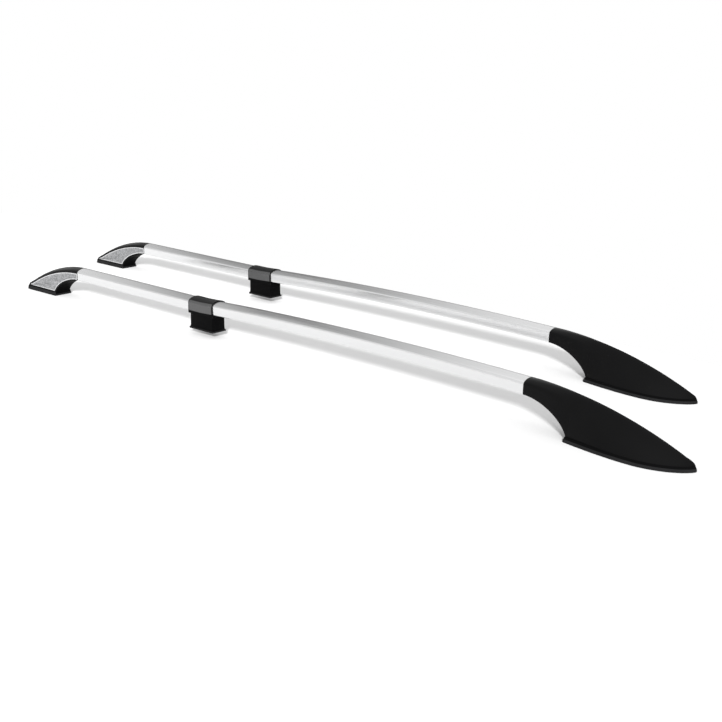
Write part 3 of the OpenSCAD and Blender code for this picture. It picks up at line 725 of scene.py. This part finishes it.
def make_collar(side):
    """The saddle follows the kink above the tube's floor and stays level below it. Its side band is satin,
    with a painted sheen: a lighter colour than the rest. The strip along its foot has painted shade: the
    darker leg plastic.
    """
    half_len = LEG_LEN / 2 + COLLAR_OVER
    band_end = half_len - COLLAR_RIM
    _, turn = tube_frame(KINK_X + JUST_PAST)
    rings = []
    for x in (-half_len, -band_end, 0, band_end, half_len):
        points = []
        for y, z in collar_outline():
            along, up = x, z
            if x > 0 and z >= 0:
                along = x * math.cos(turn) - z * math.sin(turn)
                up = z * math.cos(turn) + x * math.sin(turn)
            points.append(rail_point(side, KINK_X + along, y, TUBE_Z + up))
        rings.append(points)
    collar = loft(f"{side}_collar_saddle", rings)
    place_piece(soften(collar, width=0.7, angle=40, segments=4), f"{side}_collar", "collar_plastic")
    sheen_band, low = finish_index(collar, "collar_painted_sheen"), finish_index(collar, "leg_plastic")
    middle = rail_point(side, KINK_X, 0, TUBE_Z)
    for face in collar.data.polygons:
        along, across, up = (face.center - middle) / MM
        # painted shade: faces along the collar's foot get the darker leg plastic
        if up - max(0, along) * math.tan(START_ANGLE) < COLLAR_RIM:
            face.material_index = low
        # painted sheen: the band's side faces get the lighter, glossier plastic
        elif abs(along) < band_end and face.normal.y * across > BAND_TILT * abs(across):
            face.material_index = sheen_band


def make_leg(side):
    """The block under the collar: upright walls with round corners, and a neck that cradles the tube."""
    top = TUBE_Z - COLLAR_DROP - HOLE_GAP
    levels = [(PAD_TOP, 0.0), (PAD_TOP + 2, -0.2), (PAD_TOP + 7, -0.6), (top - 1, -0.8), (top, -0.8)]
    block = stack(f"{side}_leg_block", side, LEG_LEN, LEG_W, LEG_CORNER_R, levels)
    soften(block, width=0.3, angle=40)
    levels = [(top - 2, NECK_GROW), (TUBE_Z + FLOOR_R, NECK_GROW)]
    neck = stack("neck", side, LEG_LEN, NECK_W, NECK_CORNER_R, levels)
    run = [run_ring(side, KINK_X + x, section(SEAT_GAP)) for x in (-LEG_LEN, 0, LEG_LEN)]
    cut(neck, loft("tube_room", run))
    join = block.modifiers.new("neck", "BOOLEAN")
    join.operation, join.solver, join.object = "UNION", "MANIFOLD", neck
    apply_modifiers(block)
    bpy.data.objects.remove(neck)
    place_piece(soften(block, angle=40), f"{side}_leg", "leg_plastic")


def stack(name, side, length, width, radius, levels):
    """A block under the joint: a rounded rectangle at each level of (height, growth)."""
    return loft(name, [[rail_point(side, KINK_X + x, y, z)
                        for x, y in round_rectangle(length, width, radius, grow)]
                       for z, grow in levels])


def round_rectangle(length, width, radius, grow):
    half_x, half_y = length / 2 + grow - radius, width / 2 + grow - radius
    corners = [(half_x, half_y, 0), (-half_x, half_y, 1), (-half_x, -half_y, 2), (half_x, -half_y, 3)]
    return [p for x, y, quarter_turn in corners
            for p in arc(x, y, radius, quarter_turn * math.pi / 2, (quarter_turn + 1) * math.pi / 2,
                         CORNER_STEPS)]


def make_pad(side):
    """The rubber under the leg, with a lip all round and a hole for the bolt."""
    levels = [(LEG_SOLE_Z, -0.4), (LEG_SOLE_Z + 0.5, 0.0), (PAD_TOP - 0.8, 0.0), (PAD_TOP, -0.7)]
    length, width = LEG_LEN + 2 * PAD_LIP, LEG_W + 2 * PAD_LIP
    pad = stack(f"{side}_leg_pad_rubber", side, length, width, PAD_CORNER_R, levels)
    cut(pad, rod("hole", rail_point(side, KINK_X, 0, 0), PAD_HOLE_R, LEG_SOLE_Z - 1, PAD_TOP + 1))
    place_piece(soften(pad, angle=35), f"{side}_leg_pad", "gasket_rubber")


SLOTS = {part["node"]: part["material_slot"] for part in frame["record"]["subparts"]}
for name, cad_piece in frame["nodes"].items():
    cad_piece.data.materials.clear()
    cad_piece.data.materials.append(FINISH[SLOTS[name]])
for rail_side in SIDES:
    make_tubes(rail_side)
    make_collar(rail_side)
    make_leg(rail_side)
    make_pad(rail_side)
    make_panels(rail_side)
    for foot_name in FEET:
        make_cover(rail_side, foot_name)
        make_gasket(rail_side, foot_name)


# Studio, in metres. A ramp is (axis, from, to, value at from, value at to). Along the floor its value is
# the paper's grey, which darkens towards the front feet as a painted fall-off of light, and over the axes
# of a mirrored direction it is the room's strength.
FLOOR = (-2.2, -2.2), (2.2, 0.5)
FLOOR_GLOW = 0.11
FLOOR_PAINTED_FALLOFF = ("X", -1.0, 0.9, 0.67, 0.59)
BACK_WALL = ("X", -0.72, -0.84, 0.24, 1.05), ("X", -0.69, -0.50, 0.23, 0.88)
SKYLINE = ("Z", 0.0, 0.22, 0.08, 1.0)
NEAR_AND_HIGH = ("Y", -0.1, -0.70, 0.0, 0.85), ("Z", 0.66, 0.92, 0.0, 1.08)
LAMP_PLACE, LAMP_TARGET, LAMP_SIZE, LAMP_POWER = (0.4, -0.6, 3.2), (0, 0, 0), (3.5, 3.0), 4
SUN_TRAVEL, SUN_STRENGTH, SUN_SPREAD = (-0.85, 1.0, -0.62), 5.6, 7

# The photograph's viewpoint, fitted to both rails: degrees, then the lens in millimetres
CAMERA_PLACE = 1.9282, -2.0300, 0.7624
CAMERA_YAW, CAMERA_PITCH, CAMERA_ROLL = 40.91, 16.49, 1.21
LENS, SENSOR_W, FAR_CLIP = 56.28, 36, 200


def split(item, coordinates):
    """The axes of a set of texture coordinates."""
    place = node(item, "ShaderNodeTexCoord")
    axes = node(item, "ShaderNodeSeparateXYZ")
    link(item, place.outputs[coordinates], axes.inputs["Vector"])
    return axes.outputs


def axis_ramp(item, axes, axis, *limits):
    return ramp(item, axes[axis], *limits)


def make_floor():
    """White paper that takes shadows. To the camera it also glows a little, so it meets the white world."""
    mesh = bpy.data.meshes.new("floor")
    (low_x, low_y), (high_x, high_y) = FLOOR
    mesh.from_pydata([(low_x, low_y, 0), (high_x, low_y, 0), (high_x, high_y, 0), (low_x, high_y, 0)], [],
                     [(0, 1, 2, 3)])
    floor = bpy.data.objects.new("floor", mesh)
    bpy.context.scene.collection.objects.link(floor)
    item = bpy.data.materials.new("floor_white")
    item.use_nodes = True
    nodes = item.node_tree.nodes
    nodes.clear()
    paper = node(item, "ShaderNodeBsdfDiffuse")
    # painted fall-off of light: the paper's grey darkens along X towards the front feet
    link(item, axis_ramp(item, split(item, "Object"), *FLOOR_PAINTED_FALLOFF), paper.inputs["Color"])
    glow = node(item, "ShaderNodeEmission")
    rays = node(item, "ShaderNodeLightPath")
    both = node(item, "ShaderNodeAddShader")
    result = node(item, "ShaderNodeOutputMaterial")
    share = node(item, "ShaderNodeMath", operation="MULTIPLY")
    share.inputs[1].default_value = FLOOR_GLOW
    link(item, rays.outputs["Is Camera Ray"], share.inputs[0])
    link(item, share.outputs["Value"], glow.inputs["Strength"])
    link(item, paper.outputs["BSDF"], both.inputs[0])
    link(item, glow.outputs["Emission"], both.inputs[1])
    link(item, both.outputs["Shader"], result.inputs["Surface"])
    mesh.materials.append(item)


def combine(item, operation, *values):
    """Joins values by one operation, in turn."""
    result = values[0]
    for value in values[1:]:
        both = node(item, "ShaderNodeMath", operation=operation)
        link(item, result, both.inputs[0])
        link(item, value, both.inputs[1])
        result = both.outputs["Value"]
    return result


def make_world():
    """White to the camera. What the object mirrors is dark in one band along the rails and near the floor,
    and bright on the near side and overhead."""
    world = bpy.data.worlds.new("studio")
    bpy.context.scene.world = world
    world.use_nodes = True
    world.node_tree.nodes.clear()
    axes = split(world, "Generated")
    wall = combine(world, "MAXIMUM", *[axis_ramp(world, axes, *values) for values in BACK_WALL])
    wall = combine(world, "MULTIPLY", wall, axis_ramp(world, axes, *SKYLINE))
    room = combine(world, "MAXIMUM", wall, *[axis_ramp(world, axes, *values) for values in NEAR_AND_HIGH])
    rays = node(world, "ShaderNodeLightPath")
    sky = node(world, "ShaderNodeBackground")
    sky.inputs["Color"].default_value = (1, 1, 1, 1)
    link(world, combine(world, "MAXIMUM", room, rays.outputs["Is Camera Ray"]), sky.inputs["Strength"])
    result = node(world, "ShaderNodeOutputWorld")
    link(world, sky.outputs["Background"], result.inputs["Surface"])


def add_light(name, kind, travel):
    """A light whose rays travel one way."""
    lamp = bpy.data.lights.new(name, kind)
    holder = bpy.data.objects.new(name, lamp)
    holder.rotation_euler = travel.to_track_quat("-Z", "Y").to_euler()
    bpy.context.scene.collection.objects.link(holder)
    return lamp, holder


def make_lights():
    """A faint lamp overhead, and a low soft key that leaves no glint."""
    lamp, holder = add_light("overhead", "AREA", Vector(LAMP_TARGET) - Vector(LAMP_PLACE))
    lamp.shape, lamp.energy = "RECTANGLE", LAMP_POWER
    lamp.size, lamp.size_y = LAMP_SIZE
    holder.location = LAMP_PLACE
    sun, holder = add_light("key", "SUN", Vector(SUN_TRAVEL))
    sun.energy, sun.angle = SUN_STRENGTH, math.radians(SUN_SPREAD)
    holder.visible_glossy = False


def make_camera():
    lens = bpy.data.cameras.new("camera")
    lens.lens, lens.sensor_width, lens.clip_end = LENS, SENSOR_W, FAR_CLIP
    camera = bpy.data.objects.new("camera", lens)
    yaw = Matrix.Rotation(math.radians(CAMERA_YAW), 4, "Z")
    pitch = Matrix.Rotation(math.pi / 2 - math.radians(CAMERA_PITCH), 4, "X")
    roll = Matrix.Rotation(math.radians(CAMERA_ROLL), 4, "Z")
    camera.matrix_world = Matrix.Translation(CAMERA_PLACE) @ (yaw @ pitch @ roll)
    bpy.context.scene.collection.objects.link(camera)
    bpy.context.scene.camera = camera


make_floor()
make_world()
make_lights()
make_camera()
bpy.context.scene.view_settings.view_transform = "Standard"
